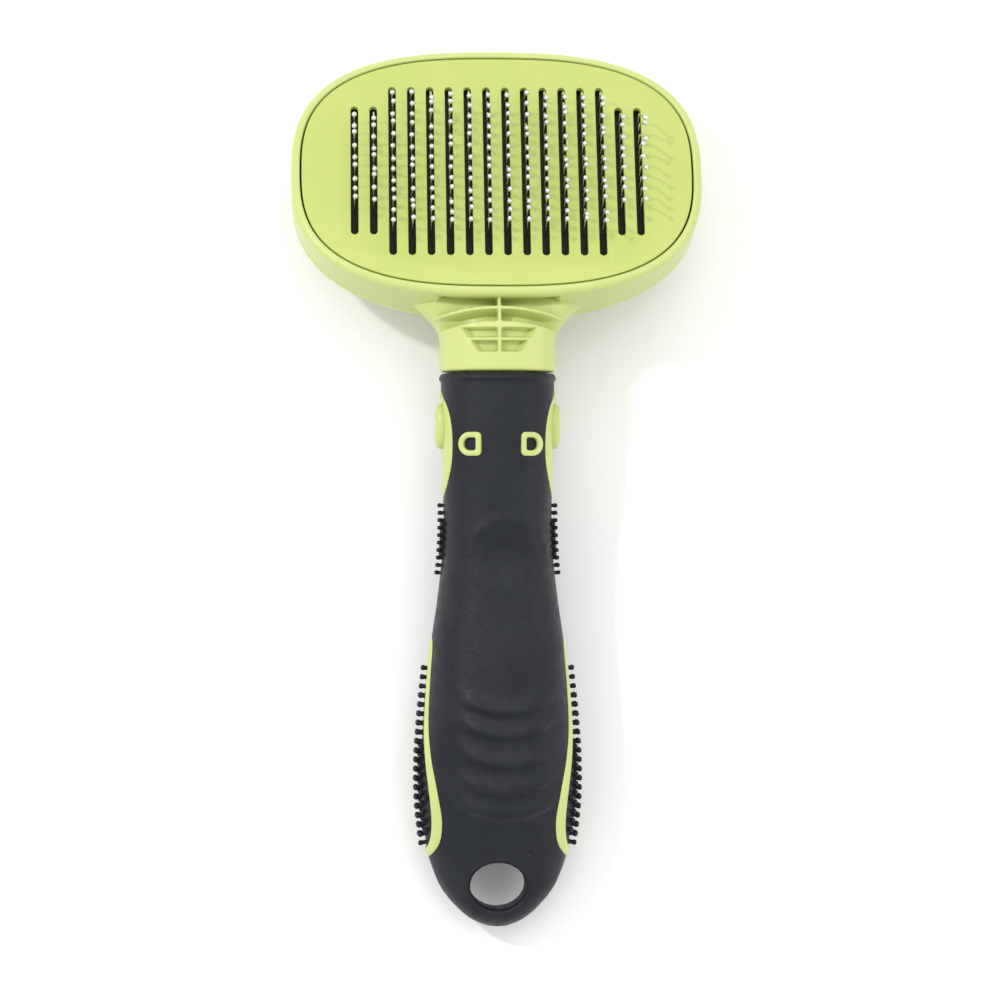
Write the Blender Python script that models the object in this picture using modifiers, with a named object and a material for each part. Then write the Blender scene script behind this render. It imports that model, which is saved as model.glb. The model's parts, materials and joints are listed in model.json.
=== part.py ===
"""Slicker brush with a lift-out cleaning plate and a plug-in head, lying on its back, pins up.

Three frames are used, each an empty. "brush" has its origin at the tail of the handle, +Y along the
handle and +Z out of the handle's front. "head" sits in the middle of the head's front plane, tilted back
from the handle. "wiper" is on the push button's axis. Sizes are in millimetres and become metres in MM.
"""
import math

import bmesh
import bpy
from mathutils import Matrix, Vector

MM = 0.001
GAP = 0.3                      # clearance between pieces that touch

# resting pose and layout of the frames
REST_ANGLE = 6.064             # handle's slope when the tail and the head's back touch the table, degrees
HEAD_TILT = 23.0               # head leans back from the handle, degrees
HEAD_CENTRE = (0.0, 176.7, -2.0)

# head
HEAD_HALF = (48.1, 32.2)
HEAD_POWER = 2.75
WALL = 2.0
WALL_DEPTH = 12.2
LEDGE = 1.8
LEDGE_SPAN = (-8.4, -7.2)
COVER_DEPTH = 19.4
COVER_WALL = 1.8
COVER_RIM = 0.8                # straight band between the cover's edge and its dome
COVER_ROUNDING = 7.0
COVER_SIDES = 30               # puts a straight side, not a corner, against the table
PLATE_SPAN = (-1.8, -0.2)
STRIP_SPAN = (-2.9, -2.1)
PAD_SPAN = (-5.2, -3.2)
BED_SPAN = (-6.9, -5.5)
LIFT_SPAN = (-16.9, -15.4)
BUTTON_TOP = -23.8
BUTTON_HALF = (10.5, 7.0)
BUTTON_Y = -11.0

# slots and pins
SLOT_PITCH = 4.44
SLOT_WIDTH = 1.77
LONG_SLOT = 44.3
SHORT_SLOT = 33.7
SLOT_COUNT = 16
SHORT_AT_EACH_END = 2
PIN_PITCH = 2.8
PINS_LONG = 13
PINS_SHORT = 9
PIN_OFFSET = 1.2
WIRE_RADIUS = 0.21
BALL_RADIUS = 0.6
PIN_BEND_AT = 5.2
PIN_TOP = 10.0
PIN_LEAN = 2.4

# plate lifting gear
POSTS = [(38.5, 9.0), (38.5, -9.0), (-38.5, 9.0), (-38.5, -9.0)]
POST_RADIUS = 1.9
COVER_SCREWS = [(26.0, 19.5), (26.0, -19.5), (-26.0, 19.5), (-26.0, -19.5)]
SCREW_RADII = (2.0, 1.0)       # head and shank
SCREW_HEAD = 0.8
SCREW_BORE = 1.3
SCREW_SEAT = 2.4
BOSS_RADIUS = 2.7
BOSS_END = -16.2
SPRING_WIRE = 0.25
SPRING_RADII = (2.5, 4.5)
SPRING_TURNS = 4

# handle: stations along it as (distance from tail, half width, half thickness, middle's height)
HANDLE = [
    (0.15, 2.4, 3.0, -2.6), (1.6, 5.8, 5.0, -2.4), (4.0, 8.9, 6.2, -2.1), (8.6, 12.8, 7.0, -1.6),
    (13.3, 15.0, 8.0, -1.0), (18.0, 16.4, 9.4, -0.5), (24.0, 17.3, 11.2, -0.1), (31.0, 17.9, 12.8, 0.0),
    (40.0, 17.9, 13.8, 0.0), (50.0, 17.2, 14.2, 0.0), (59.0, 16.3, 13.8, 0.0), (67.0, 15.4, 13.0, 0.0),
    (76.0, 14.1, 12.2, 0.0), (86.0, 13.0, 11.6, 0.0), (96.0, 12.6, 11.4, 0.0), (106.0, 12.9, 11.5, 0.0),
    (116.0, 13.2, 11.7, 0.0), (126.0, 13.2, 11.8, 0.0), (128.0, 13.5, 12.0, 0.0)]
HANDLE_POWER = 2.3
RUBBER = 2.2
CORE_START = 21.0
HANG_HOLE = (9.3, 6.9, 5.8)    # distance from tail, half width, half length
COLLAR_START = 129.3
TONGUE_HALF = (6.5, 5.0)
TONGUE_END = 103.0
SOCKET_END = 102.0

# side windows, seen from the side: (middle along handle, half length, half height)
LOWER_WINDOW = (42.0, 24.5, 9.0)
UPPER_WINDOW = (112.0, 13.0, 7.6)
TRIM_EDGE = 1.7
NUB_WINDOW = (90.2, 8.4, 4.4)
BUTTON_WINDOW = (116.7, 5.3, 3.6)
RELEASE_REACH = (10.4, 14.6)
HANDLE_SCREWS = [30.0, 66.0, 92.0]
EYELET = (7.1, 112.4)          # distance from the middle and from the tail
EYELET_OUTER = (2.5, 2.6)
EYELET_INNER = (1.4, 1.5)
EYELET_LEAN = 26.0

parts = None
cutters = None


def clear_scene():
    for old in list(bpy.data.objects):
        bpy.data.objects.remove(old)


def collection(name):
    made = bpy.data.collections.new(name)
    bpy.context.scene.collection.children.link(made)
    return made


def empty(name, parent, location, tilt):
    made = bpy.data.objects.new(name, None)
    made.empty_display_size = 0.02
    parts.objects.link(made)
    made.parent = parent
    made.location = [value * MM for value in location]
    made.rotation_euler = (math.radians(tilt), 0.0, 0.0)
    return made


def finish_of(name, colour, roughness, metallic=0.0):
    made = bpy.data.materials.new(name)
    made.use_nodes = True
    shader = made.node_tree.nodes["Principled BSDF"]
    shader.inputs["Base Color"].default_value = (*colour, 1.0)
    shader.inputs["Roughness"].default_value = roughness
    shader.inputs["Metallic"].default_value = metallic
    made.diffuse_color = (*colour, 1.0)
    return made


def add_object(name, mesh, parent, finish, offset=(0.0, 0.0, 0.0)):
    """A finish of None makes a cutter, which is shown as a wire and isn't built."""
    made = bpy.data.objects.new(name, mesh)
    (parts if finish else cutters).objects.link(made)
    made.parent = parent
    made.location = [value * MM for value in offset]
    if finish:
        mesh.materials.append(finish)
    else:
        made.hide_render = True
        made.display_type = "WIRE"
    return made


def mesh_of(shape, name):
    bmesh.ops.recalc_face_normals(shape, faces=shape.faces)
    mesh = bpy.data.meshes.new(name)
    shape.to_mesh(mesh)
    shape.free()
    return mesh


def rings_to_mesh(name, rings):
    """Skin a stack of rings that have the same number of points, and cap both ends."""
    shape = bmesh.new()
    loops = [[shape.verts.new(Vector(point) * MM) for point in ring] for ring in rings]
    for low, high in zip(loops, loops[1:]):
        for step in range(len(low)):
            after = (step + 1) % len(low)
            shape.faces.new((low[step], low[after], high[after], high[step]))
    shape.faces.new(list(reversed(loops[0])))
    shape.faces.new(loops[-1])
    return mesh_of(shape, name)


def superellipse(half_x, half_y, power, count):
    points = []
    for step in range(count):
        angle = 2.0 * math.pi * step / count
        across, up = math.cos(angle), math.sin(angle)
        points.append((math.copysign(abs(across) ** (2.0 / power), across) * half_x,
                       math.copysign(abs(up) ** (2.0 / power), up) * half_y))
    return points


def slot_outline(middle, half_long, half_wide, steps=4):
    """Outline of a slot with round ends, along Y."""
    points = []
    for side in (1.0, -1.0):
        for step in range(steps + 1):
            angle = math.pi * step / steps
            points.append((middle[0] + side * math.cos(angle) * half_wide,
                           middle[1] + side * (half_long - half_wide + math.sin(angle) * half_wide)))
    return points


def slab(name, outlines, span, parent, finish, offset=(0.0, 0.0, 0.0)):
    """A flat piece: the first outline is its edge, and the others are holes through it."""
    flat = bpy.data.curves.new(name, "CURVE")
    flat.dimensions = "2D"
    flat.fill_mode = "BOTH"
    flat.extrude = 0.5 * (span[1] - span[0]) * MM
    for outline in outlines:
        spline = flat.splines.new("POLY")
        spline.points.add(len(outline) - 1)
        spline.use_cyclic_u = True
        for point, (across, along) in zip(spline.points, outline):
            point.co = (across * MM, along * MM, 0.0, 1.0)
    mesh = mesh_from_curve(name, flat)
    mesh.transform(Matrix.Translation((0.0, 0.0, 0.5 * (span[0] + span[1]) * MM)))
    return add_object(name, mesh, parent, finish, offset)


def mesh_from_curve(name, curve):
    guide = bpy.data.objects.new(name + "_curve", curve)
    bpy.context.scene.collection.objects.link(guide)
    bpy.context.view_layer.update()
    drawn = guide.evaluated_get(bpy.context.evaluated_depsgraph_get())
    mesh = bpy.data.meshes.new_from_object(drawn)
    bpy.data.objects.remove(guide)
    shape = bmesh.new()
    shape.from_mesh(mesh)
    bmesh.ops.remove_doubles(shape, verts=shape.verts, dist=0.00001)
    bmesh.ops.recalc_face_normals(shape, faces=shape.faces)
    shape.to_mesh(mesh)
    shape.free()
    mesh.name = name
    return mesh


def round_cutter(name, radius, low, high, parent, middle, sides=12):
    """Upright cylinder used for cutting and joining."""
    shape = bmesh.new()
    place = Matrix.Translation((middle[0] * MM, middle[1] * MM, 0.5 * (low + high) * MM))
    bmesh.ops.create_cone(shape, cap_ends=True, segments=sides, radius1=radius * MM,
                          radius2=radius * MM, depth=(high - low) * MM, matrix=place)
    return add_object(name, mesh_of(shape, name), parent, None)


def box(name, low, high, parent, finish):
    shape = bmesh.new()
    size = [(top - bottom) * MM for bottom, top in zip(low, high)]
    middle = [0.5 * (top + bottom) * MM for bottom, top in zip(low, high)]
    place = Matrix.Translation(middle) @ Matrix.Diagonal((*size, 1.0))
    bmesh.ops.create_cube(shape, size=1.0, matrix=place)
    return add_object(name, mesh_of(shape, name), parent, finish)


def boolean(piece, other, operation):
    step = piece.modifiers.new(operation.lower() + "_" + other.name, "BOOLEAN")
    step.operation = operation
    step.object = other
    step.solver = "EXACT"


def cut(piece, *others):
    for other in others:
        boolean(piece, other, "DIFFERENCE")


def join(piece, *others):
    for other in others:
        boolean(piece, other, "UNION")


def shade_round(piece, angle=35.0):
    piece.data.shade_smooth()
    piece.data.set_sharp_from_angle(angle=math.radians(angle))


def coil_mesh(name, start, end, radii, turns, wire, points_per_turn=10):
    """A conical or straight coil about Z, from height start to height end."""
    path = bpy.data.curves.new(name, "CURVE")
    path.dimensions = "3D"
    path.bevel_depth = wire * MM
    path.bevel_resolution = 0
    path.use_fill_caps = True
    count = turns * points_per_turn + 1
    spline = path.splines.new("POLY")
    spline.points.add(count - 1)
    for step, point in enumerate(spline.points):
        share = step / (count - 1)
        angle = 2.0 * math.pi * turns * share
        radius = radii[0] + (radii[1] - radii[0]) * share
        height = start + (end - start) * share
        point.co = (math.cos(angle) * radius * MM, math.sin(angle) * radius * MM, height * MM, 1.0)
    return mesh_from_curve(name, path)


def head_outline(inset, count=40):
    return superellipse(HEAD_HALF[0] - inset, HEAD_HALF[1] - inset, HEAD_POWER, count)


def circle(radius, middle, count=12):
    return [(middle[0] + radius * math.cos(2.0 * math.pi * step / count),
             middle[1] + radius * math.sin(2.0 * math.pi * step / count)) for step in range(count)]


def column_x(index):
    return (index - 0.5 * (SLOT_COUNT - 1)) * SLOT_PITCH


def is_short(index):
    return min(index, SLOT_COUNT - 1 - index) < SHORT_AT_EACH_END


# ---- head ----

def head_to_brush(point):
    """Head frame point given in the brush frame."""
    tilt = Matrix.Rotation(math.radians(-HEAD_TILT), 3, "X")
    return tilt @ Vector(point) + Vector(HEAD_CENTRE)


def neck_rings(grow=0.0):
    """From inside the head's wall, bending into the straight collar; brush frame.

    Each station is (distance along the head, height in the head, half width, half thickness), or, past
    the head, (distance from the tail, height, half width, half thickness, slope in degrees).
    """
    in_head = [(-29.9 + grow, -12.6, 15.5, 3.9), (-30.9, -9.3, 17.0, 7.7), (-32.6, -10.2, 16.8, 8.4)]
    past_head = [(139.8, 0.7, 14.6, 10.6, 12.0), (136.5, 0.0, 13.6, 11.8, 0.0), (130.2, 0.0, 13.6, 11.8, 0.0),
                 (COLLAR_START, 0.0, 13.0, 11.2, 0.0)]
    rings = []
    for along, height, half_x, half_z in in_head:
        rings.append(tilted_ring(head_to_brush((0.0, along, height)), half_x + grow, half_z + grow, HEAD_TILT))
    for along, height, half_x, half_z, slope in past_head:
        rings.append(tilted_ring(Vector((0.0, along, height)), half_x + grow, half_z + grow, slope))
    return rings


def tilted_ring(middle, half_x, half_z, slope):
    tilt = Matrix.Rotation(math.radians(-slope), 3, "X")
    return [tuple(middle + tilt @ Vector((across, 0.0, up)))
            for across, up in superellipse(half_x, half_z, 2.4, 28)]


def make_head(brush, head, lime, dark_plastic, steel):
    frame = slab("head_frame", [head_outline(0.0), head_outline(WALL)], (-WALL_DEPTH, 0.0), head, lime)
    ledge = slab("ledge", [head_outline(0.5 * WALL), head_outline(WALL + LEDGE)], LEDGE_SPAN, head, None)
    neck = add_object("neck", rings_to_mesh("neck", neck_rings()), brush, None)
    tongue = box("tongue", (-TONGUE_HALF[0], TONGUE_END, -TONGUE_HALF[1]),
                 (TONGUE_HALF[0], COLLAR_START + 3.0, TONGUE_HALF[1]), brush, None)
    join(frame, ledge, neck, tongue)
    shade_round(frame)

    pad_holes = [circle(POST_RADIUS + GAP, post) for post in POSTS]
    slab("pin_pad", [head_outline(WALL + 1.2)] + pad_holes, PAD_SPAN, head, dark_plastic)
    bed = slab("pin_bed", [head_outline(WALL + GAP)] + pad_holes, BED_SPAN, head, dark_plastic)
    for index, place in enumerate(COVER_SCREWS):
        boss = round_cutter("boss_%d" % index, BOSS_RADIUS, BOSS_END, 0.5 * sum(BED_SPAN), head, place, 16)
        bore = round_cutter("boss_bore_%d" % index, SCREW_BORE, BOSS_END - 1.0, -9.0, head, place)
        join(bed, boss)
        cut(bed, bore)
        make_screw("cover_screw_%d" % (index + 1), head, steel, place, SCREW_HEAD + 0.1 - COVER_DEPTH, -10.0)
    make_back_cover(brush, head, lime)


def make_screw(name, parent, steel, place, seat, tip):
    """Screw along Z: its head lies below the height of its seat, and its shank reaches up to its tip."""
    wide, narrow = SCREW_RADII
    profile = [(wide, seat - SCREW_HEAD), (wide, seat), (narrow, seat), (narrow, tip)]
    rings = [[(x, y, height) for x, y in circle(radius, place)] for radius, height in profile]
    add_object(name, rings_to_mesh(name, rings), parent, steel)


def make_back_cover(brush, head, lime):
    """Domed shell with its rim against the back of the head's wall."""
    rim = -WALL_DEPTH - GAP
    dome = rim - COVER_RIM
    rings = [[(across, along, rim) for across, along in head_outline(0.1, COVER_SIDES)]]
    steps = 4
    for step in range(steps + 1):
        turn = 0.5 * math.pi * step / steps
        inset = COVER_ROUNDING * (1.0 - math.cos(turn))
        height = dome - (COVER_DEPTH + dome) * math.sin(turn)
        rings.append([(across, along, height) for across, along in head_outline(inset + 0.1, COVER_SIDES)])
    mesh = rings_to_mesh("back_cover", rings)
    shape = bmesh.new()
    shape.from_mesh(mesh)
    open_face = max(shape.faces, key=lambda face: face.calc_center_median().z + len(face.verts))
    bmesh.ops.delete(shape, geom=[open_face], context="FACES_ONLY")
    shape.to_mesh(mesh)
    shape.free()
    cover = add_object("back_cover", mesh, head, lime)
    shell = cover.modifiers.new("shell", "SOLIDIFY")
    shell.thickness = COVER_WALL * MM
    shell.offset = -1.0
    hole = [(x, y + BUTTON_Y) for x, y in superellipse(BUTTON_HALF[0] + GAP, BUTTON_HALF[1] + GAP, 2.3, 24)]
    cut(cover, slab("button_hole", [hole], (-COVER_DEPTH - 2.0, -COVER_DEPTH + 4.0), head, None))
    cut(cover, add_object("neck_seat", rings_to_mesh("neck_seat", neck_rings(GAP)), brush, None))
    for index, place in enumerate(COVER_SCREWS):
        bore = round_cutter("cover_bore_%d" % index, SCREW_BORE, -COVER_DEPTH - 3.0, -12.5, head, place)
        seat = round_cutter("cover_seat_%d" % index, SCREW_SEAT, -COVER_DEPTH - 3.0,
                            SCREW_HEAD + 0.1 + GAP - COVER_DEPTH, head, place)
        cut(cover, bore, seat)
    shade_round(cover)


def pin_mesh(name, shafts):
    """Thin three-sided pins, each bent towards the handle and ending in a ball-like tip."""
    shape = bmesh.new()
    lean = PIN_LEAN / (PIN_TOP - PIN_BEND_AT)
    stations = [(STRIP_SPAN[0] + 0.3, 0.0, WIRE_RADIUS), (PIN_BEND_AT, 0.0, WIRE_RADIUS),
                (PIN_TOP - 2.0 * BALL_RADIUS, None, WIRE_RADIUS), (PIN_TOP - BALL_RADIUS, None, BALL_RADIUS)]
    for across, along in shafts:
        loops = []
        for height, shift, radius in stations:
            back = lean * (height - PIN_BEND_AT) if shift is None else 0.0
            ring = circle(radius, (across, along - back), 3)
            loops.append([shape.verts.new(Vector((x, y, height)) * MM) for x, y in ring])
        for low, high in zip(loops, loops[1:]):
            for step in range(3):
                after = (step + 1) % 3
                shape.faces.new((low[step], low[after], high[after], high[step]))
        shape.faces.new(list(reversed(loops[0])))
        tip = shape.verts.new(Vector((across, along - PIN_LEAN, PIN_TOP)) * MM)
        for step in range(3):
            shape.faces.new((loops[-1][step], loops[-1][(step + 1) % 3], tip))
    return mesh_of(shape, name)


def make_pin_rows(head, steel):
    for pair in range(SLOT_COUNT // 2):
        columns = (2 * pair, 2 * pair + 1)
        short = is_short(columns[0])
        count = PINS_SHORT if short else PINS_LONG
        reach = 0.5 * (count - 1) * PIN_PITCH
        middle = 0.5 * (column_x(columns[0]) + column_x(columns[1]))
        half = 0.5 * SLOT_PITCH + 0.6
        name = "pin_row_%d" % (pair + 1)
        strip = box(name, (middle - half, PIN_OFFSET - reach - 0.8, STRIP_SPAN[0]),
                    (middle + half, PIN_OFFSET + reach + 0.8, STRIP_SPAN[1]), head, steel)
        shafts = [(column_x(column), PIN_OFFSET - reach + PIN_PITCH * step)
                  for column in columns for step in range(count)]
        join(strip, add_object(name + "_pins", pin_mesh(name + "_pins", shafts), head, None))


def make_wiper(wiper, head, lime, steel):
    """Slotted plate, the lifting frame behind the pin bed with its posts and button, and the return springs."""
    shift = (0.0, -BUTTON_Y, 0.0)
    slots = []
    for index in range(SLOT_COUNT):
        length = SHORT_SLOT if is_short(index) else LONG_SLOT
        slots.append(slot_outline((column_x(index), 0.0), 0.5 * length, 0.5 * SLOT_WIDTH))
    slab("stripper_plate", [head_outline(WALL + GAP)] + slots, PLATE_SPAN, wiper, lime, shift)

    bar = superellipse(41.0, 12.5, 4.0, 32)
    lift = slab("lift_frame", [bar], LIFT_SPAN, wiper, lime, shift)
    for index, place in enumerate(POSTS):
        post = round_cutter("post_%d" % index, POST_RADIUS, LIFT_SPAN[1] - 0.8, PLATE_SPAN[0] - GAP,
                            wiper, (place[0], place[1] - BUTTON_Y))
        join(lift, post)
        coil = coil_mesh("return_spring_%d" % (index + 1), BED_SPAN[0] - 0.6, LIFT_SPAN[1] + 0.6,
                         SPRING_RADII, SPRING_TURNS, SPRING_WIRE)
        add_object("return_spring_%d" % (index + 1), coil, head, steel, (place[0], place[1], 0.0))

    rings = []
    for height, inset in ((LIFT_SPAN[0] - GAP, 0.0), (BUTTON_TOP + 1.6, 0.0),
                          (BUTTON_TOP + 0.5, 0.5), (BUTTON_TOP, 1.8)):
        outline = superellipse(BUTTON_HALF[0] - inset, BUTTON_HALF[1] - inset, 2.3, 24)
        rings.append([(across, along, height) for across, along in outline])
    button = add_object("push_button", rings_to_mesh("push_button", rings), wiper, lime)
    shade_round(button)


# ---- handle ----

def handle_ring(station, inset, count=28):
    along, half_x, half_z, middle = station
    return [(across, along, middle + up)
            for across, up in superellipse(half_x - inset, half_z - inset, HANDLE_POWER, count)]


def handle_at(along):
    """Station of the handle at a distance from the tail, between the listed ones."""
    for low, high in zip(HANDLE, HANDLE[1:]):
        if low[0] <= along <= high[0]:
            share = (along - low[0]) / (high[0] - low[0])
            return tuple(a + (b - a) * share for a, b in zip(low, high))
    return HANDLE[-1]


def handle_solid(name, parent, finish, inset, start, end, beyond=0.0):
    """The handle's form, made smaller by inset, between two distances from the tail."""
    stations = [handle_at(start)] + [s for s in HANDLE if start + 1.0 < s[0] < end - 1.0] + [handle_at(end)]
    rings = [handle_ring(station, inset) for station in stations]
    rings[-1] = [(across, along + beyond, up) for across, along, up in rings[-1]]
    made = add_object(name, rings_to_mesh(name, rings), parent, finish)
    shade_round(made, 60.0)
    return made


def window(name, parent, outline, side, grow, reach=(7.0, 24.0), count=20):
    """Cutter through one side of the handle, an oval seen from the side."""
    middle, half_long, half_high = outline
    rings = []
    for across in reach:
        rings.append([(side * across, middle + along, up) for along, up in
                      superellipse(half_long + grow, half_high + grow, 2.2, count)])
    return add_object(name, rings_to_mesh(name, rings), parent, None)


def shell_patch(name, parent, finish, cutter, inner=RUBBER - GAP, outer=0.0):
    """The part of the handle's skin, between two depths, that lies inside a window."""
    middle = [point for point in HANDLE if point[0] > 12.0]
    rings = [handle_ring(station, outer, 40) for station in middle]
    skin = add_object(name, rings_to_mesh(name, rings), parent, finish)
    core = add_object(name + "_core", rings_to_mesh(name + "_core", [
        [(x, y + (5.0 if row == len(middle) - 1 else -5.0 if row == 0 else 0.0), z)
         for x, y, z in handle_ring(station, inner, 40)] for row, station in enumerate(middle)]), parent, None)
    boolean(skin, cutter, "INTERSECT")
    cut(skin, core)
    shade_round(skin)
    return skin


def nub_mesh(name, parent, outline, side, pitch, height):
    """Short round nubs standing on a side pad, in rows offset by half a pitch."""
    middle, half_long, half_high = outline
    shape = bmesh.new()
    row = 0
    up = -half_high
    while up <= half_high + 0.01:
        along = -half_long + (0.5 * pitch if row % 2 else 0.0)
        while along <= half_long:
            if (along / half_long) ** 2 + (up / (half_high + 0.2)) ** 2 < 0.95:
                station = handle_at(middle + along)
                ratio = min(abs(up) / station[2], 1.0)
                across = station[1] * (1.0 - ratio ** HANDLE_POWER) ** (1.0 / HANDLE_POWER)
                place = Matrix.Translation(Vector((side * (across + 0.5 * height - 0.5), middle + along, up)) * MM)
                turn = Matrix.Rotation(side * 0.5 * math.pi, 4, "Y")
                bmesh.ops.create_cone(shape, cap_ends=True, segments=5, radius1=0.75 * MM,
                                      radius2=0.5 * MM, depth=(height + 1.0) * MM, matrix=place @ turn)
            along += pitch
        up += 0.87 * pitch
        row += 1
    return add_object(name, mesh_of(shape, name), parent, None)


def make_handle(brush, lime, rubber, steel):
    grip = handle_solid("rubber_grip", brush, rubber, 0.0, HANDLE[0][0], HANDLE[-1][0])
    hollow = handle_solid("grip_hollow", brush, None, RUBBER - GAP, CORE_START - GAP, HANDLE[-1][0], 3.0)
    hole = [(x, y + HANG_HOLE[0]) for x, y in superellipse(HANG_HOLE[1], HANG_HOLE[2], 2.0, 28)]
    cut(grip, hollow, slab("hang_hole", [hole], (-20.0, 20.0), brush, None))

    socket = box("socket", (-TONGUE_HALF[0] - GAP, SOCKET_END, -TONGUE_HALF[1] - GAP),
                 (TONGUE_HALF[0] + GAP, 140.0, TONGUE_HALF[1] + GAP), brush, None)
    halves = {}
    for name, low, high in (("handle_core_front", -20.0, 0.5 * GAP), ("handle_core_back", -0.5 * GAP, 20.0)):
        half = handle_solid(name, brush, lime, RUBBER, CORE_START, HANDLE[-1][0] - 0.3)
        cut(half, box(name + "_cutter", (-30.0, 0.0, low), (30.0, 150.0, high), brush, None), socket)
        halves[name] = half

    for index, along in enumerate(HANDLE_SCREWS):
        place = (0.0, along)
        thickness = handle_at(along)[2] - RUBBER
        start = SCREW_HEAD + 0.6 - thickness
        name = "handle_screw_%d" % (index + 1)
        make_screw(name, brush, steel, place, start, 6.0)
        bore = round_cutter(name + "_bore", SCREW_BORE, -20.0, 6.4, brush, place)
        seat = round_cutter(name + "_seat", SCREW_SEAT, -20.0, start + GAP, brush, place)
        cut(halves["handle_core_back"], bore, seat)
        cut(halves["handle_core_front"], bore)

    for side, word in ((1.0, "right"), (-1.0, "left")):
        make_side(brush, side, word, grip, halves, lime, rubber, steel)
    return grip


def make_side(brush, side, word, grip, halves, lime, rubber, steel):
    lower_opening = window("lower_opening_" + word, brush, LOWER_WINDOW, side, GAP)
    upper_opening = window("upper_opening_" + word, brush, UPPER_WINDOW, side, GAP)
    nub_opening = window("nub_opening_" + word, brush, NUB_WINDOW, side, GAP)
    cut(grip, lower_opening, upper_opening, nub_opening)

    pad_outline = (LOWER_WINDOW[0] - 1.0, LOWER_WINDOW[1] - TRIM_EDGE - 2.6, LOWER_WINDOW[2] - TRIM_EDGE)
    trim = shell_patch("lower_trim_" + word, brush, lime, window("lower_edge_" + word, brush, LOWER_WINDOW,
                                                                 side, 0.0))
    cut(trim, window("lower_pad_opening_" + word, brush, pad_outline, side, GAP))
    pad = shell_patch("lower_nub_pad_" + word, brush, rubber,
                      window("lower_pad_edge_" + word, brush, pad_outline, side, 0.0), outer=0.5)
    nubs = (pad_outline[0], pad_outline[1] - 1.2, pad_outline[2] - 1.4)
    join(pad, nub_mesh("lower_nubs_" + word, brush, nubs, side, 4.1, 1.3))

    button_edge = window("button_edge_" + word, brush, BUTTON_WINDOW, side, GAP)
    upper = shell_patch("upper_trim_" + word, brush, lime,
                        window("upper_edge_" + word, brush, UPPER_WINDOW, side, 0.0))
    cut(upper, button_edge)
    small = shell_patch("upper_nub_pad_" + word, brush, rubber,
                        window("upper_pad_edge_" + word, brush, NUB_WINDOW, side, 0.0), outer=0.2)
    small_nubs = (NUB_WINDOW[0], NUB_WINDOW[1] - 1.0, NUB_WINDOW[2] - 1.0)
    join(small, nub_mesh("upper_nubs_" + word, brush, small_nubs, side, 3.4, 1.2))

    release = empty("release_" + word, brush, (side * RELEASE_REACH[1], BUTTON_WINDOW[0], 0.0), 0.0)
    rings = []
    for across, inset in ((RELEASE_REACH[0], 0.0), (13.4, 0.0), (14.2, 0.5), (RELEASE_REACH[1], 1.3)):
        rings.append([(side * (across - RELEASE_REACH[1]), along, up) for along, up in
                      superellipse(BUTTON_WINDOW[1] - inset, BUTTON_WINDOW[2] - inset, 2.2, 20)])
    button = add_object("release_button_" + word, rings_to_mesh("release_button_" + word, rings),
                        release, lime)
    shade_round(button)
    pocket = window("button_pocket_" + word, brush, BUTTON_WINDOW, side, GAP, (8.1, 30.0))
    for half in halves.values():
        cut(half, pocket)
    coil = coil_mesh("release_spring_" + word, -0.8, 0.8, (1.6, 2.6), 3, 0.2)
    coil.transform(Matrix.Rotation(0.5 * math.pi, 4, "Y"))
    add_object("release_spring_" + word, coil, brush, steel,
               (side * 0.5 * (8.1 + RELEASE_REACH[0]), BUTTON_WINDOW[0], 0.0))


def d_outline(half_wide, half_high, side):
    """A D with its flat side towards the middle of the grip."""
    outline = [(-0.9 * half_wide, -half_high), (-0.9 * half_wide, half_high)]
    for step in range(7):
        angle = 0.5 * math.pi - math.pi * step / 6.0
        outline.append((0.1 * half_wide + 0.9 * half_wide * math.cos(angle), half_high * math.sin(angle)))
    return [(side * across, along) for across, along in outline]


def make_eyelets(brush, lime, grip):
    """D-shaped rings sunk into the front of the grip, lying along its surface."""
    across, along = EYELET
    half_x, half_z = handle_at(along)[1:3]
    height = half_z * (1.0 - (across / half_x) ** HANDLE_POWER) ** (1.0 / HANDLE_POWER)
    for side, word in ((1.0, "right"), (-1.0, "left")):
        place = (side * across, along, height)
        larger = [half + GAP for half in EYELET_OUTER]
        seat = slab("eyelet_seat_" + word, [d_outline(*larger, side)], (-1.1, 3.0), brush, None, place)
        ring = slab("grip_eyelet_" + word, [d_outline(*EYELET_OUTER, side), d_outline(*EYELET_INNER, side)],
                    (-0.8, 0.4), brush, lime, place)
        for piece in (seat, ring):
            piece.rotation_euler = (0.0, side * math.radians(EYELET_LEAN), 0.0)
        cut(grip, seat)


def world_corners():
    graph = bpy.context.evaluated_depsgraph_get()
    points = []
    for piece in parts.objects:
        if piece.type == "MESH":
            drawn = piece.evaluated_get(graph)
            points += [drawn.matrix_world @ vertex.co for vertex in drawn.data.vertices]
    low = Vector([min(point[axis] for point in points) for axis in range(3)])
    high = Vector([max(point[axis] for point in points) for axis in range(3)])
    return low, high


def main():
    global parts, cutters
    clear_scene()
    parts = collection("slicker_brush")
    cutters = collection("cutters")
    lime = finish_of("lime_plastic", (0.62, 0.72, 0.20), 0.35)
    rubber = finish_of("black_rubber", (0.035, 0.038, 0.044), 0.75)
    dark_plastic = finish_of("dark_plastic", (0.03, 0.03, 0.025), 0.5)
    steel = finish_of("steel", (0.62, 0.62, 0.60), 0.3, 1.0)

    brush = empty("brush", None, (0.0, 0.0, 0.0), REST_ANGLE)
    head = empty("head", brush, HEAD_CENTRE, -HEAD_TILT)
    wiper = empty("wiper", head, (0.0, BUTTON_Y, 0.0), 0.0)
    bpy.context.view_layer.update()
    make_head(brush, head, lime, dark_plastic, steel)
    make_pin_rows(head, steel)
    make_wiper(wiper, head, lime, steel)
    grip = make_handle(brush, lime, rubber, steel)
    make_eyelets(brush, lime, grip)

    bpy.context.view_layer.update()
    low, high = world_corners()
    brush.location -= Vector((0.5 * (low.x + high.x), 0.5 * (low.y + high.y), low.z))


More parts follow.
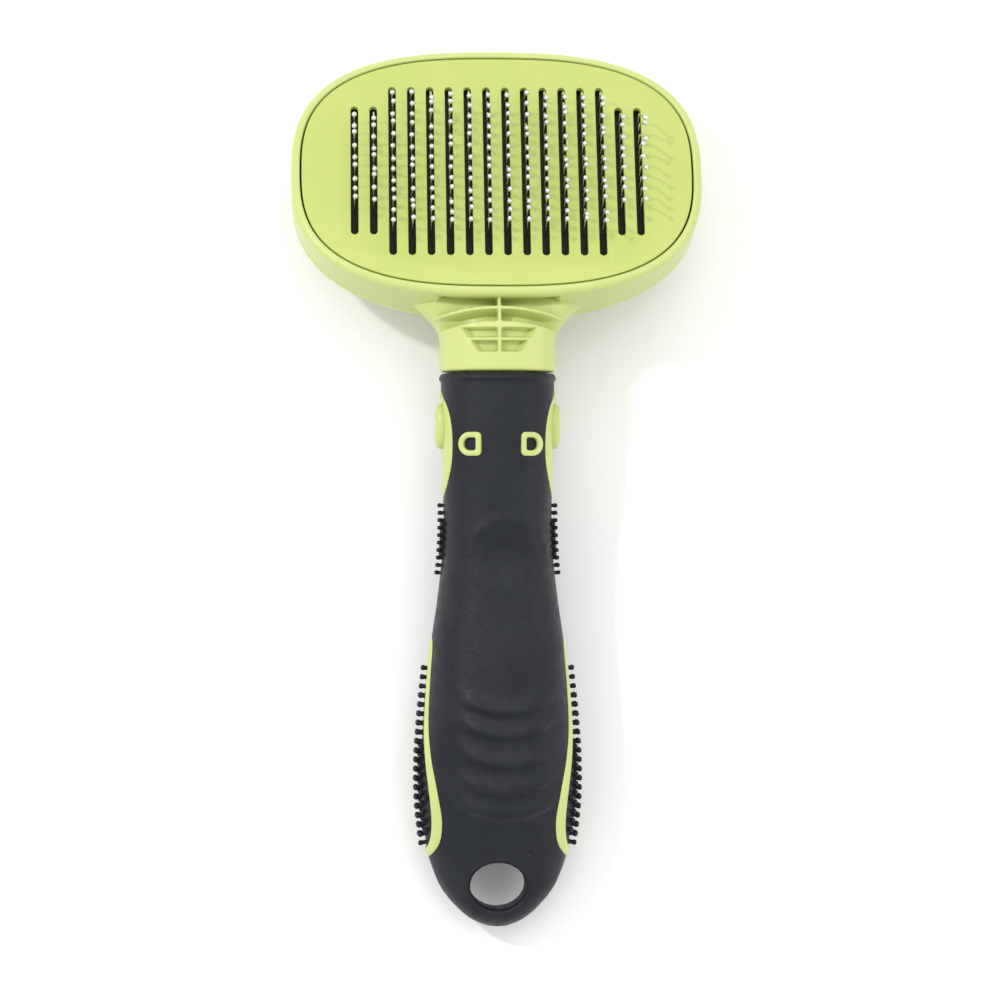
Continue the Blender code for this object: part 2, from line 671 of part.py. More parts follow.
main()
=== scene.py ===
import json
import math
import random

import bmesh
import bpy
from mathutils import Matrix, Vector


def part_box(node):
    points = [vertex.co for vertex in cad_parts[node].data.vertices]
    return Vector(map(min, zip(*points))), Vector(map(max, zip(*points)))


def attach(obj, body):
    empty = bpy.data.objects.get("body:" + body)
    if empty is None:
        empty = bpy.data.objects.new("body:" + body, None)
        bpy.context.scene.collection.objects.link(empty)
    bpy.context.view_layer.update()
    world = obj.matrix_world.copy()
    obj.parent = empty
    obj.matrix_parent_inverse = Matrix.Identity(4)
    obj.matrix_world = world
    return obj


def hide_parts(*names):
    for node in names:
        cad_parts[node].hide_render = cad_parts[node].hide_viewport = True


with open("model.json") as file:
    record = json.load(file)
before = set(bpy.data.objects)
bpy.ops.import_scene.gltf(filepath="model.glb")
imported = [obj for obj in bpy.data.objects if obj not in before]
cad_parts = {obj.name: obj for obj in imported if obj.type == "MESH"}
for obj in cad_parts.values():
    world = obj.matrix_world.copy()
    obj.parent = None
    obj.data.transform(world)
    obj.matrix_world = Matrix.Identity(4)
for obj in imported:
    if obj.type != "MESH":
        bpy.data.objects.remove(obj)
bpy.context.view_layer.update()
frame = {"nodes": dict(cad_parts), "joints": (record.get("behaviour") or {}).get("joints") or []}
print("frame loaded")

# Shapes are drawn in millimetres, in the handle's or the head's own frame.
mm = 0.001
across = Vector((1.0, 0.0, 0.0))
jointAxis = {joint["name"]: Vector(joint["axis"]).normalized() for joint in frame["joints"]}
handleAxis = jointAxis["head_release"]
headNormal = jointAxis["plate_lift"]

layout = {
    "buttonFromTail": 116.7,       # middle of the release buttons, along the handle
    "plateMiddle": 1.0,            # middle of the plate's thickness, below the head's front plane
    "headTilt": 23.0,
    "headHalf": (48.1, 32.2),
    "headPower": 2.75,
}


def middleOf(node):
    low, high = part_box(node)
    return 0.5 * (low + high)


def placeAt(origin, along, up):
    turn = Matrix((across, along, up)).transposed().to_4x4()
    return Matrix.Translation(origin) @ turn @ Matrix.Scale(mm, 4)


handleUp = across.cross(handleAxis)
buttonMiddle = 0.5 * (middleOf("release_button_left") + middleOf("release_button_right"))
handlePlace = placeAt(buttonMiddle - layout["buttonFromTail"] * mm * handleAxis, handleAxis, handleUp)
headAlong = headNormal.cross(across)
headOrigin = middleOf("stripper_plate") + layout["plateMiddle"] * mm * headNormal
headPlace = placeAt(headOrigin, headAlong, headNormal)
headInHandle = handlePlace.inverted() @ headPlace


def smoothStep(low, high, value):
    share = min(max((value - low) / (high - low), 0.0), 1.0)
    return share * share * (3.0 - 2.0 * share)


# The closed outline with its points the same distance apart
def evenly(points, count):
    closed = list(points) + [points[0]]
    reach = [0.0]
    for start, end in zip(closed, closed[1:]):
        reach.append(reach[-1] + math.dist(start, end))
    found = []
    leg = 0
    for step in range(count):
        target = reach[-1] * step / count
        while reach[leg + 1] < target:
            leg += 1
        share = (target - reach[leg]) / max(reach[leg + 1] - reach[leg], 1e-9)
        found.append(tuple(a + (b - a) * share for a, b in zip(closed[leg], closed[leg + 1])))
    return found


def superellipse(halfX, halfY, power, count):
    raw = []
    for step in range(1440):
        angle = 2.0 * math.pi * step / 1440
        c, s = math.cos(angle), math.sin(angle)
        raw.append((math.copysign(abs(c) ** (2.0 / power), c) * halfX,
                    math.copysign(abs(s) ** (2.0 / power), s) * halfY))
    return evenly(raw, count)


# The closed outline grown outwards by an amount, or drawn in by a negative one
def offsetLoop(loop, amount):
    area = sum(a[0] * b[1] - b[0] * a[1] for a, b in zip(loop, loop[1:] + loop[:1]))
    amount = math.copysign(1.0, area) * amount
    found = []
    for index, (x, y) in enumerate(loop):
        before, after = loop[index - 2], loop[(index + 2) % len(loop)]
        run = Vector((after[0] - before[0], after[1] - before[1])).normalized()
        found.append((x + run.y * amount, y - run.x * amount))
    return found


# A smooth closed curve through a few points
def smoothLoop(points, count):
    raw = []
    size = len(points)
    for index in range(size):
        a, b, c, d = (points[(index + shift) % size] for shift in (-1, 0, 1, 2))
        for step in range(24):
            t = step / 24.0
            raw.append(tuple(0.5 * (2 * q + (r - p) * t + (2 * p - 5 * q + 4 * r - s) * t * t
                                    + (3 * q - p - 3 * r + s) * t ** 3) for p, q, r, s in zip(a, b, c, d)))
    return evenly(raw, count)


# Smooth value of a table of stations, whose first column is where each one is
def between(stations, at):
    rising = stations[-1][0] > stations[0][0]
    rows = stations if rising else stations[::-1]
    at = min(max(at, rows[0][0]), rows[-1][0])
    leg = max(i for i in range(len(rows) - 1) if rows[i][0] <= at)
    low, high = rows[leg], rows[leg + 1]
    before, after = rows[max(leg - 1, 0)], rows[min(leg + 2, len(rows) - 1)]
    span = high[0] - low[0]
    t = (at - low[0]) / span
    found = []
    for a, b, c, d in zip(before[1:], low[1:], high[1:], after[1:]):
        start = (c - a) / max(high[0] - before[0], 1e-9) * span
        end = (d - b) / max(after[0] - low[0], 1e-9) * span
        found.append((2 * t ** 3 - 3 * t ** 2 + 1) * b + (t ** 3 - 2 * t ** 2 + t) * start
                     + (3 * t ** 2 - 2 * t ** 3) * c + (t ** 3 - t ** 2) * end)
    return found


# Side faces through a stack of rings, with flat ends or, when closed, joined round to the first ring
def skin(shape, rings, closed=False):
    loops = [[shape.verts.new(point) for point in ring] for ring in rings]
    for low, high in zip(loops, loops[1:] + (loops[:1] if closed else [])):
        for step in range(len(low)):
            after = (step + 1) % len(low)
            shape.faces.new((low[step], low[after], high[after], high[step]))
    if not closed:
        shape.faces.new(loops[0][::-1])
        shape.faces.new(loops[-1])


def circle(radius, count):
    return [(radius * math.cos(2 * math.pi * step / count), radius * math.sin(2 * math.pi * step / count))
            for step in range(count)]


def stack(outline, place, heights):
    return [[(x + place[0], y + place[1], height) for x, y in outline] for height in heights]


# Turns the drawn shape into an object, with its points placed in the frame
def newPiece(name, shape, place):
    bmesh.ops.recalc_face_normals(shape, faces=shape.faces)
    mesh = bpy.data.meshes.new(name)
    shape.to_mesh(mesh)
    shape.free()
    mesh.transform(place)
    piece = bpy.data.objects.new(name, mesh)
    bpy.context.scene.collection.objects.link(piece)
    return piece


# Cuts the cutters away, then rounds the sharp edges, and keeps the result as the piece's mesh
def carve(piece, cutters, roundWidth=0.0, roundAngle=50.0):
    for cutter in cutters:
        step = piece.modifiers.new("carve", "BOOLEAN")
        step.operation = "DIFFERENCE"
        step.object = cutter
        step.solver = "EXACT"
    if roundWidth:
        step = piece.modifiers.new("round", "BEVEL")
        step.width = roundWidth * mm
        step.segments = 3
        step.limit_method = "ANGLE"
        step.angle_limit = math.radians(roundAngle)
    bpy.context.view_layer.update()
    drawn = piece.evaluated_get(bpy.context.evaluated_depsgraph_get())
    mesh = bpy.data.meshes.new_from_object(drawn)
    piece.modifiers.clear()
    piece.data = mesh
    for cutter in cutters:
        bpy.data.objects.remove(cutter)


def finishPiece(piece, finishes, body, cadNodes, sharp=38.0):
    piece.data.materials.clear()
    for finish in finishes:
        piece.data.materials.append(finish)
    piece.data.shade_smooth()
    piece.data.set_sharp_from_angle(angle=math.radians(sharp))
    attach(piece, body)
    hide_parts(*cadNodes)


# Colour from the usual 0 to 255 values
def linear(red, green, blue):
    return tuple((value / 255.0) ** 2.2 for value in (red, green, blue)) + (1.0,)


def newFinish(name):
    finish = bpy.data.materials.new(name)
    finish.use_nodes = True
    nodes = finish.node_tree.nodes
    return finish, nodes["Principled BSDF"], nodes.new("ShaderNodeTexCoord").outputs["Object"]


def link(finish, source, target):
    finish.node_tree.links.new(source, target)


def noiseAt(finish, coordinates, scale, detail=3.0, roughness=0.5):
    node = finish.node_tree.nodes.new("ShaderNodeTexNoise")
    node.inputs["Scale"].default_value = scale
    node.inputs["Detail"].default_value = detail
    node.inputs["Roughness"].default_value = roughness
    link(finish, coordinates, node.inputs["Vector"])
    return node.outputs["Fac"]


def ramp(finish, source, stops):
    node = finish.node_tree.nodes.new("ShaderNodeValToRGB")
    band = node.color_ramp
    band.elements[0].position, band.elements[0].color = stops[0]
    band.elements[1].position, band.elements[1].color = stops[-1]
    for position, colour in stops[1:-1]:
        band.elements.new(position).color = colour
    link(finish, source, node.inputs["Fac"])
    return node.outputs["Color"]


# An even change from one colour or grey to another, over the middle of a noise's range
def softRamp(finish, source, low, high):
    return ramp(finish, source, [(0.3, low), (0.7, high)])


def addBump(finish, shader, source, strength, distance):
    node = finish.node_tree.nodes.new("ShaderNodeBump")
    node.inputs["Strength"].default_value = strength
    node.inputs["Distance"].default_value = distance * mm
    link(finish, source, node.inputs["Height"])
    link(finish, node.outputs["Normal"], shader.inputs["Normal"])


def grey(value):
    return (value, value, value, 1.0)


limeLook = {
    "plate": [(180, 192, 101), (184, 195, 107)],     # darker and lighter cloud of the same plastic
    "body": [(187, 198, 118), (192, 201, 125)],
    "cloudScale": 45.0,
    "mottleScale": 320.0,
    "roughness": (0.34, 0.44),
    "bumpScale": 2200.0,
    "bump": (0.25, 0.012),                           # strength, depth
    "scatter": 0.06,
    "scatterReach": (0.0012, 0.0014, 0.0006),
    "coat": (0.08, 0.2),                             # weight, roughness
    "ior": 1.49,
}


def limePlastic(name, shade, colour):
    finish, shader, spot = newFinish(name)
    cloud = noiseAt(finish, spot, limeLook["cloudScale"], 2.0)
    link(finish, softRamp(finish, cloud, linear(*shade), linear(*colour)), shader.inputs["Base Color"])
    mottle = noiseAt(finish, spot, limeLook["mottleScale"], 4.0)
    low, high = limeLook["roughness"]
    link(finish, softRamp(finish, mottle, grey(low), grey(high)), shader.inputs["Roughness"])
    addBump(finish, shader, noiseAt(finish, spot, limeLook["bumpScale"]), *limeLook["bump"])
    shader.inputs["Subsurface Weight"].default_value = limeLook["scatter"]
    shader.inputs["Subsurface Radius"].default_value = limeLook["scatterReach"]
    shader.inputs["Subsurface Scale"].default_value = 1.0
    shader.inputs["Coat Weight"].default_value = limeLook["coat"][0]
    shader.inputs["Coat Roughness"].default_value = limeLook["coat"][1]
    shader.inputs["IOR"].default_value = limeLook["ior"]
    return finish


rubberLook = {
    "colour": (23, 27, 33),
    "worn": (35, 38, 44),
    "wearScale": 90.0,
    # painted glints: colour and size of the light specks that stand in for sparkle highlights
    "glintColour": (120, 122, 126),
    "glintScale": 420.0,
    "glintPatchScale": 190.0,           # painted glints: light specks that stand in for sparkle highlights, shown only in patches of this noise
    "roughness": (0.40, 0.54),
    "roughnessScale": 500.0,
    "grainScale": 1900.0,
    "grain": (0.6, 0.16),          # strength, depth
    "specular": 0.27,
}


def blackRubber():
    finish, shader, spot = newFinish("blackRubber")
    nodes = finish.node_tree.nodes
    wear = noiseAt(finish, spot, rubberLook["wearScale"], 8.0, 0.75)
    base = ramp(finish, wear, [(0.35, linear(*rubberLook["colour"])), (0.68, linear(*rubberLook["worn"]))])
    # Painted glints: light grey specks are put into the base colour in patches, standing in for sparkle
    # highlights on the rubber
    glintSpots = nodes.new("ShaderNodeTexVoronoi")
    glintSpots.inputs["Scale"].default_value = rubberLook["glintScale"]
    glintSpots.inputs["Randomness"].default_value = 1.0
    link(finish, spot, glintSpots.inputs["Vector"])
    glintDots = ramp(finish, glintSpots.outputs["Distance"], [(0.035, grey(1.0)), (0.075, grey(0.0))])
    glintPatchNoise = noiseAt(finish, spot, rubberLook["glintPatchScale"], 2.0)
    glintPatches = ramp(finish, glintPatchNoise, [(0.63, grey(0.0)), (0.67, grey(1.0))])
    both = nodes.new("ShaderNodeMath")
    both.operation = "MULTIPLY"
    link(finish, glintDots, both.inputs[0])
    link(finish, glintPatches, both.inputs[1])
    mix = nodes.new("ShaderNodeMix")
    mix.data_type = "RGBA"
    link(finish, both.outputs[0], mix.inputs["Factor"])
    link(finish, base, mix.inputs["A"])
    mix.inputs["B"].default_value = linear(*rubberLook["glintColour"])
    link(finish, mix.outputs["Result"], shader.inputs["Base Color"])
    low, high = rubberLook["roughness"]
    sheen = noiseAt(finish, spot, rubberLook["roughnessScale"])
    link(finish, softRamp(finish, sheen, grey(low), grey(high)), shader.inputs["Roughness"])
    addBump(finish, shader, noiseAt(finish, spot, rubberLook["grainScale"]), *rubberLook["grain"])
    shader.inputs["Specular IOR Level"].default_value = rubberLook["specular"]
    return finish


padLook = {
    "colours": [(30, 30, 22), (44, 43, 30)],
    "grainScale": 700.0,
    "grain": (0.4, 0.08),
    "roughness": 0.7,
}


def padRubber():
    finish, shader, spot = newFinish("padRubber")
    cloud = noiseAt(finish, spot, padLook["grainScale"])
    low, high = padLook["colours"]
    link(finish, softRamp(finish, cloud, linear(*low), linear(*high)), shader.inputs["Base Color"])
    addBump(finish, shader, cloud, *padLook["grain"])
    shader.inputs["Roughness"].default_value = padLook["roughness"]
    return finish


steelLook = {
    "grey": (0.62, 0.80),
    "roughness": (0.22, 0.36),
    "streakScale": 1500.0,
}


def wireSteel():
    finish, shader, spot = newFinish("wireSteel")
    streaks = noiseAt(finish, spot, steelLook["streakScale"], 2.0)
    for socket, (low, high) in (("Base Color", steelLook["grey"]), ("Roughness", steelLook["roughness"])):
        link(finish, softRamp(finish, streaks, grey(low), grey(high)), shader.inputs[socket])
    shader.inputs["Metallic"].default_value = 1.0
    return finish


tipLook = {
    "grey": (0.94, 0.98),
    "cloudScale": 900.0,
    "roughness": 0.25,
    "coat": 0.3,
}


def tipPlastic():
    finish, shader, spot = newFinish("tipPlastic")
    low, high = tipLook["grey"]
    cloud = noiseAt(finish, spot, tipLook["cloudScale"], 2.0)
    link(finish, softRamp(finish, cloud, grey(low), grey(high)), shader.inputs["Base Color"])
    shader.inputs["Roughness"].default_value = tipLook["roughness"]
    shader.inputs["Coat Weight"].default_value = tipLook["coat"]
    return finish


lime = limePlastic("limeBody", *limeLook["body"])
plateLime = limePlastic("limePlate", *limeLook["plate"])
rubber = blackRubber()
padFinish = padRubber()
steel = wireSteel()
tipFinish = tipPlastic()
print("finishes made")


def headOutline(inset, count):
    halfX, halfY = layout["headHalf"]
    return superellipse(halfX - inset, halfY - inset, layout["headPower"], count)


rim = {
    "points": 720,
    "wallDepth": 12.2,
    "wall": 2.0,
    "cornerLean": 1.3,            # how far the wall leans in at the corners
    "lipRound": 1.7,
    "innerRound": 0.35,
    "lipFlat": 0.05,
    "footEdge": 0.1,
    "recessDepth": 1.3,           # shallow recess in the wall above the neck
    "recessFrom": -28.0,          # only points nearer the neck than this are set in
    "recessTop": (-2.55, -2.25),
    "recessSide": (12.9, 14.3),
}


# The head's outline at a height below its front, where the wall leans in at the corners
def headLoop(inset, height, count):
    halfX, halfY = layout["headHalf"]
    deep = min(-height / rim["wallDepth"], 1.0)
    loop = []
    for x, y in headOutline(inset, count):
        corner = 4.0 * (x * y / (halfX * halfY)) ** 2
        pull = 1.0 - rim["cornerLean"] * corner * deep / math.hypot(x, y)
        loop.append((x * pull, y * pull, height))
    return loop


# (inset, height) points round the rim's section, from the inside foot over the lip to the outside foot
def rimProfile():
    lip, inner = rim["lipRound"], rim["innerRound"]
    points = [(rim["wall"], -rim["wallDepth"]), (rim["wall"], -rim["wallDepth"] * 0.5)]
    for step in range(5):
        turn = 0.5 * math.pi * step / 4
        points.append((rim["wall"] - inner * (1.0 - math.cos(turn)), -inner * (1.0 - math.sin(turn))))
    for step in range(1, 10):
        turn = 0.5 * math.pi * step / 9
        points.append(((rim["wall"] - inner - rim["lipFlat"]) * (1.0 - math.sin(turn)),
                       -lip * (1.0 - math.cos(turn))))
    steps = 22
    for step in range(1, steps + 1):
        points.append((0.0, -lip - (rim["wallDepth"] - lip - rim["footEdge"]) * step / steps))
    points.append((rim["footEdge"], -rim["wallDepth"]))
    return points


# How far the wall is set in above the neck
def wallPush(x, y, height):
    if y > rim["recessFrom"]:
        return 0.0
    side = 1.0 - smoothStep(*rim["recessSide"], abs(x))
    low = 1.0 - smoothStep(*rim["recessTop"], height)
    web = smoothStep(neck["webHalf"] - 0.1, neck["webHalf"] + 0.1, abs(x))
    return rim["recessDepth"] * side * low * web


neck = {
    "points": 288,
    "rings": 150,
    # in the head's frame: distance along, height, half width, half thickness, roundness
    "inHead": [(-30.6, -9.9, 19.6, 7.0, 1.9), (-32.4, -10.1, 17.5, 8.1, 2.0)],
    # distance from tail, height, half width, half thickness, roundness, slope
    "pastHead": [(139.8, 0.7, 14.7, 10.6, 2.2, 12.0), (136.5, 0.0, 13.6, 11.8, 2.4, 0.0),
                 (133.0, 0.0, 13.6, 11.8, 2.4, 0.0), (129.3, 0.0, 13.6, 11.8, 2.4, 0.0)],
    "ribs": [(144.0, 0.0115), (140.4, 0.012)],      # where each rib crosses the middle, and how it curves
    "ribHalf": 0.56,
    "pocketSide": (11.8, 15.6),
    "pocketDepth": 4.2,
    "webHalf": 0.64,
    "panel": (139.1, 133.8, 8.6, 4.8),              # top, foot, half widths at both
    "panelRib": (136.6, 0.46),                      # distance from tail, half width
    "panelDepth": 2.2,
    "edge": 0.27,
    "depthFade": (0.8, 5.0),                        # pockets start at these heights over the neck's middle
    "footRound": 0.8,
}


# Depth of the pockets between the neck's ribs, seen from the front
def neckDepth(x, along):
    edge, half = neck["edge"], neck["ribHalf"]

    def past(line):
        return smoothStep(line - edge, line + edge, along)

    lines = [at - bend * x * x for at, bend in neck["ribs"]]
    side = 1.0 - smoothStep(*neck["pocketSide"], abs(x))
    ribbed = max(past(lines[0] + half), past(lines[1] + half) * (1.0 - past(lines[0] - half))) * side
    top, foot, wide, narrow = neck["panel"]
    reach = narrow + (wide - narrow) * (along - foot) / (top - foot)
    inPanel = (1.0 - smoothStep(reach - edge, reach + edge, abs(x))) * past(foot) * (1.0 - past(top))
    line, width = neck["panelRib"]
    bar = past(line + width) + 1.0 - past(line - width)
    web = smoothStep(neck["webHalf"] - edge, neck["webHalf"] + edge, abs(x))
    return (neck["pocketDepth"] * ribbed + neck["panelDepth"] * inPanel * bar) * web


def neckStations():
    rows = []
    for along, height, halfX, halfZ, power in neck["inHead"]:
        middle = headInHandle @ Vector((0.0, along, height))
        rows.append((middle.y, middle.z, halfX, halfZ, power, layout["headTilt"]))
    rows += neck["pastHead"]
    return [(float(index),) + tuple(row) for index, row in enumerate(rows)]


def neckRing(row, grow, count):
    along, height, halfX, halfZ, power, slope = row
    tilt = Matrix.Rotation(math.radians(-slope), 3, "X")
    middle = Vector((0.0, along, height))
    return [tilt @ Vector((x, 0.0, z)) + middle
            for x, z in superellipse(halfX + grow, halfZ + grow, power, count)]


def addNeck(shape):
    stations = neckStations()
    last = len(stations) - 1
    rings = []
    for step in range(neck["rings"] + 1):
        row = between(stations, last * step / neck["rings"])
        toFoot = min((row[0] - stations[-1][1]) / neck["footRound"], 1.0)
        shrink = neck["footRound"] * (1.0 - math.sqrt(max(1.0 - (1.0 - toFoot) ** 2, 0.0)))
        middle = Vector((0.0, row[0], row[1]))
        ring = neckRing(row, -shrink, neck["points"])
        for point in ring:
            push = neckDepth(point.x, point.y) * smoothStep(*neck["depthFade"], point.z - row[1])
            point += (middle - point).normalized() * push
        rings.append(ring)
    skin(shape, rings)


# The plug that goes down into the handle: distance from tail and half sizes of each ring
tongue = {
    "rings": [(131.0, 6.5, 5.0), (105.0, 6.5, 5.0), (103.6, 6.2, 4.7), (103.0, 5.4, 3.9)],
    "power": 6.0,
}


def addTongue(shape):
    skin(shape, [[(x, along, z) for x, z in superellipse(halfX, halfZ, tongue["power"], 64)]
                 for along, halfX, halfZ in tongue["rings"]])


def makeHeadFrame():
    shape = bmesh.new()
    rings = []
    for inset, height in rimProfile():
        loop = headLoop(inset, height, rim["points"])
        if inset < 0.3:           # the wall's outer face only
            loop = [(x, y + wallPush(x, y, z), z) for x, y, z in loop]
        rings.append(loop)
    skin(shape, rings, closed=True)
    for vertex in shape.verts:
        vertex.co = headInHandle @ vertex.co
    addNeck(shape)
    addTongue(shape)
    piece = newPiece("headFrame", shape, handlePlace)
    finishPiece(piece, [lime], "head", ["head_frame"], 34.0)


makeHeadFrame()
print("head frame made")


slots = {
    "pitch": 4.44,
    "width": 1.77,
    "long": 44.3,
    "short": 33.7,
    "count": 16,
    "shortEachEnd": 2,
    "edge": 0.4,
    "plate": (-1.8, -0.2),
    "plateInset": 2.42,
}


def columnX(index):
    return (index - 0.5 * (slots["count"] - 1)) * slots["pitch"]


def isShort(index):
    return min(index, slots["count"] - 1 - index) < slots["shortEachEnd"]


def slotOutline(x, length, width):
    points = []
    radius = 0.5 * width
    for side in (1.0, -1.0):
        for step in range(17):
            angle = math.pi * step / 16
            points.append((x + side * math.cos(angle) * radius,
                           side * (0.5 * length - radius + math.sin(angle) * radius)))
    return points


def makeStripperPlate():
    low, high = slots["plate"]
    shape = bmesh.new()
    skin(shape, stack(headOutline(slots["plateInset"], 360), (0.0, 0.0), (low, high)))
    plate = newPiece("stripperPlate", shape, headPlace)
    cutter = bmesh.new()
    for index in range(slots["count"]):
        length = slots["short"] if isShort(index) else slots["long"]
        outline = slotOutline(columnX(index), length, slots["width"])
        skin(cutter, stack(outline, (0.0, 0.0), (low - 1.0, high + 1.0)))
    carve(plate, [newPiece("slotCutter", cutter, headPlace)], slots["edge"])
    finishPiece(plate, [plateLime], "wiper", ["stripper_plate"], 40.0)


makeStripperPlate()
print("plate made")


pins = {
    "pitch": 2.8,
    "long": 13,
    "short": 9,
    "offset": 1.2,
    "wire": 0.2,
    "ball": 0.6,
    "foot": -4.2,
    "bendAt": 5.2,
    "bendRound": 0.9,
    "top": 9.75,
    "lean": 2.5,
    "leanRange": (0.85, 1.1),
    "firstLean": 0.7,             # how much further the first pin of a column leans
    "sway": (-0.1, 0.15),
    "shift": (-0.75, 0.75),
    "lastShift": (0.0, 0.9),
    "place": (-0.06, 0.06),
    "rise": (-0.25, 0.0),
    "drift": 0.2,                 # how much further right the last column leans than the first
    "leanRight": [1.0, 1.05, 1.0, 0.3, 0.25, 0.85, 0.35, 0.3, 0.5],   # last column's pins, from the far end
}


def addWire(shape, points):
    rings = []
    for index, point in enumerate(points):
        after = points[min(index + 1, len(points) - 1)] - points[max(index - 1, 0)]
        turn = after.to_track_quat("Z", "Y").to_matrix()
        rings.append([point + turn @ Vector((x, y, 0.0)) for x, y in circle(pins["wire"], 8)])
    skin(shape, rings)


def addPin(shape, x, y, leanX, leanY, rise):
    bend = Vector((x, y, pins["bendAt"]))
    tip = Vector((x + leanX, y - leanY, pins["top"] - pins["ball"] + rise))
    foot = Vector((x, y, pins["foot"]))
    down = bend - Vector((0.0, 0.0, pins["bendRound"]))
    up = bend + (tip - bend).normalized() * pins["bendRound"]
    points = [foot, down]
    for step in range(1, 4):
        t = step / 4.0
        points.append(down * (1 - t) ** 2 + bend * 2 * t * (1 - t) + up * t * t)
    addWire(shape, points + [up, tip])
    known = len(shape.faces)
    bmesh.ops.create_uvsphere(shape, u_segments=14, v_segments=9, radius=pins["ball"],
                              matrix=Matrix.Translation(tip))
    shape.faces.ensure_lookup_table()
    for face in shape.faces[known:]:
        face.material_index = 1


def makePinRows():
    dice = random.Random(7)
    for pair in range(slots["count"] // 2):
        shape = bmesh.new()
        count = pins["short"] if isShort(2 * pair) else pins["long"]
        reach = 0.5 * (count - 1) * pins["pitch"]
        for step in range(count):
            y = pins["offset"] + reach - pins["pitch"] * step
            lean = pins["lean"] * dice.uniform(*pins["leanRange"])
            lean += pins["firstLean"] if step == 0 else 0.0
            for column in (2 * pair, 2 * pair + 1):
                sway = dice.uniform(*pins["sway"]) + pins["drift"] * column / slots["count"]
                if column == slots["count"] - 1:
                    sway = pins["leanRight"][step]
                shift = dice.uniform(*pins["shift" if step < count - 1 else "lastShift"])
                addPin(shape, columnX(column) + dice.uniform(*pins["place"]), y, sway,
                       lean - shift, dice.uniform(*pins["rise"]))
            ends = (2 * pair, 2 * pair + 1)
            addWire(shape, [Vector((columnX(column), y, pins["foot"])) for column in ends])
        name = "pinRow%d" % (pair + 1)
        piece = newPiece(name, shape, headPlace)
        finishPiece(piece, [steel, tipFinish], "head", ["pin_row_%d" % (pair + 1)], 60.0)


makePinRows()
print("pins made")


cover = {
    "depth": 19.35,
    "rounding": 7.3,
    "wall": 1.8,
    "rimDrop": 12.3,
    "straight": 1.0,
    "seam": 0.1,                  # how far the cover is set in under the wall
    "neckGap": 0.25,
    "points": 320,
    "edge": 0.25,
    "screws": [(26.0, 19.5), (26.0, -19.5), (-26.0, 19.5), (-26.0, -19.5)],
    "screwSeat": (2.5, 1.2),      # radius, depth
}

button = {
    "middle": (0.0, -11.0),
    "half": (10.5, 7.0),
    "power": 2.3,
    "gap": 0.3,
    "top": -23.8,
    "foot": -17.2,
    "round": 1.8,
    "bars": [-2, -1, 0, 1, 2],    # grip bars across its face
    "barPitch": 2.1,
    "barLong": (5.6, 0.9),        # half length at the middle, and how much each next one is shorter
    "barHalf": 1.1,
    "barThin": 0.32,
    "barRise": (0.4, 0.05),
}


def flatCutter(name, outline, place, low, high):
    shape = bmesh.new()
    skin(shape, stack(outline, place, (low, high)))
    return newPiece(name, shape, headPlace)


# The neck's form a little larger, so that the cover's rim fits round it
def neckCutter():
    along, height, halfX, halfZ, power = neck["inHead"][0]
    first = headInHandle @ Vector((0.0, along + 0.8, height))
    rows = [(first.y, first.z, halfX - 2.0, halfZ - 0.6, power, layout["headTilt"])]
    rows += [row[1:] for row in neckStations()[:3]]
    shape = bmesh.new()
    skin(shape, [neckRing(row, cover["neckGap"], 160) for row in rows])
    return newPiece("neckCutter", shape, handlePlace)


def makeBackCover():
    shape = bmesh.new()
    skins = []
    drop, seam = cover["rimDrop"], cover["seam"]
    dome = drop + cover["straight"]
    for wall in (cover["wall"], 0.0):
        part = [headLoop(seam + wall, -drop, cover["points"])]
        for step in range(15):
            turn = 0.5 * math.pi * step / 14
            inset = seam + wall + (cover["rounding"] - wall) * (1.0 - math.cos(turn))
            height = -dome - (cover["depth"] - wall - dome) * math.sin(turn)
            part.append(headLoop(inset, height, cover["points"]))
        skins.append(part)
    inner, outer = skins
    skin(shape, inner[::-1] + outer)
    piece = newPiece("backCover", shape, headPlace)
    halfX, halfY = button["half"]
    outline = superellipse(halfX + button["gap"], halfY + button["gap"], button["power"], 96)
    cutters = [flatCutter("buttonHole", outline, button["middle"], -24.0, -15.0)]
    radius, deep = cover["screwSeat"]
    for place in cover["screws"]:
        outline = superellipse(radius, radius, 2.0, 48)
        cutters.append(flatCutter("screwSeat", outline, place, -24.0, -cover["depth"] + deep))
    cutters.append(neckCutter())
    carve(piece, cutters, cover["edge"], 55.0)
    finishPiece(piece, [lime], "head", ["back_cover"], 34.0)


def makePushButton():
    shape = bmesh.new()
    x0, y0 = button["middle"]
    halfX, halfY = button["half"]
    top, edge = button["top"], button["round"]
    rings = []
    for step in range(9):
        turn = 0.5 * math.pi * step / 8
        rings.append((edge * (1.0 - math.sin(turn)), top + edge * (1.0 - math.cos(turn))))
    rings.append((0.0, button["foot"]))
    skin(shape, [[(x + x0, y + y0, height)
                  for x, y in superellipse(halfX - inset, halfY - inset, button["power"], 128)]
                 for inset, height in rings])
    longest, shorter = button["barLong"]
    low, shoulder = button["barRise"]
    for index in button["bars"]:
        outline = superellipse(longest - shorter * abs(index), button["barHalf"], 3.0, 40)
        bar = [(x + x0, y * button["barThin"] + y0 + button["barPitch"] * index) for x, y in outline]
        skin(shape, [[(x, y, top + low) for x, y in bar], [(x, y, top + shoulder) for x, y in bar],
                     [(x0 + (x - x0) * 0.97, y, top) for x, y in bar]])
    piece = newPiece("pushButton", shape, headPlace)
    finishPiece(piece, [lime], "wiper", ["push_button"])


screw = {
    "headRadius": 2.0,
    "headHigh": 0.8,
    "radius": 1.0,
    "point": (0.3, 0.8),          # radius and length of the tapered end
    "seat": 0.9,                  # how deep its seat lies in the cover
    "tip": -10.0,
    "cross": (1.2, 0.3),          # half length, half width
    "crossSpan": (1.5, 0.1),      # start and end of the cross below the seat
    "crossTaper": 0.7,
}


